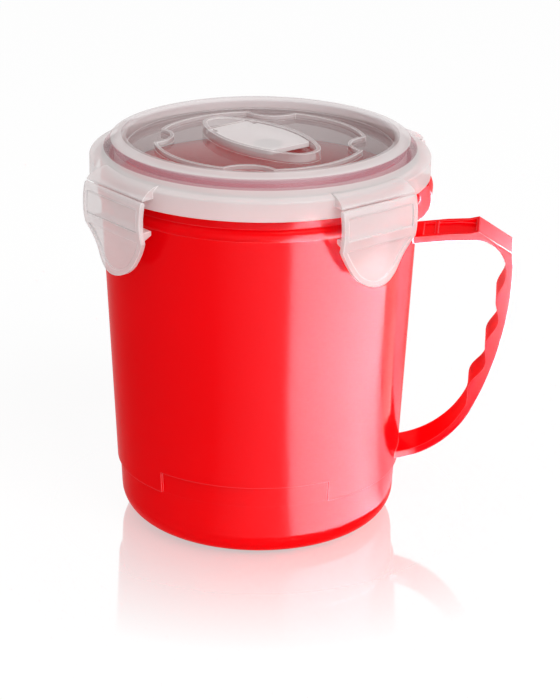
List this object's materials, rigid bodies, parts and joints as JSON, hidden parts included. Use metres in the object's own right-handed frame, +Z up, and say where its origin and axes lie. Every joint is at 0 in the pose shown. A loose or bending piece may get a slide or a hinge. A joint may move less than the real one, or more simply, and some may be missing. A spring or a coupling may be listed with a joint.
{
  "type": "lidded soup mug",
  "caption": "Tapered plastic soup mug with a strap handle and finger waves, closed by a translucent lid with hinged clips and a steam vent.",
  "frame": {"origin": "centre of the mug's foot ring, on the surface it stands on", "axes": "+Z up along the mug's axis, +X towards the handle, -Y towards the front panel"},
  "size_m": [0.1442, 0.1152, 0.1363],
  "materials": {
    "mug_plastic": "glossy red polypropylene",
    "lid_plastic": "frosted translucent polypropylene",
    "seal_silicone": "soft milky silicone"
  },
  "bodies": {
    "mug": {"mug": "mug_plastic"},
    "lid": {"lid": "lid_plastic", "lid_seal": "seal_silicone"},
    "front_right_clip": {"front_right_clip": "lid_plastic"},
    "front_left_clip": {"front_left_clip": "lid_plastic"},
    "rear_left_clip": {"rear_left_clip": "lid_plastic"},
    "rear_right_clip": {"rear_right_clip": "lid_plastic"},
    "vent": {"vent_flap": "lid_plastic", "vent_plug": "seal_silicone"}
  },
  "joints": [
    {"name": "lid_lift", "type": "slide", "parent": "mug", "child": "lid", "axis": [0, 0, 1], "range_m": [0, 0.04]},
    {"name": "front_right_clip_hinge", "type": "hinge", "parent": "lid", "child": "front_right_clip", "pos_m": [0.04278, -0.04278, 0.1258], "axis": [-0.7071, -0.7071, 0], "range_deg": [0, 120]},
    {"name": "front_left_clip_hinge", "type": "hinge", "parent": "lid", "child": "front_left_clip", "pos_m": [-0.04278, -0.04278, 0.1258], "axis": [-0.7071, 0.7071, 0], "range_deg": [0, 120]},
    {"name": "rear_left_clip_hinge", "type": "hinge", "parent": "lid", "child": "rear_left_clip", "pos_m": [-0.04278, 0.04278, 0.1258], "axis": [0.7071, 0.7071, 0], "range_deg": [0, 120]},
    {"name": "rear_right_clip_hinge", "type": "hinge", "parent": "lid", "child": "rear_right_clip", "pos_m": [0.04278, 0.04278, 0.1258], "axis": [0.7071, -0.7071, 0], "range_deg": [0, 120]},
    {"name": "vent_hinge", "type": "hinge", "parent": "lid", "child": "vent", "pos_m": [-0.01202, 0.01202, 0.1341], "axis": [-0.7071, -0.7071, 0], "range_deg": [0, 100]}
  ]
}
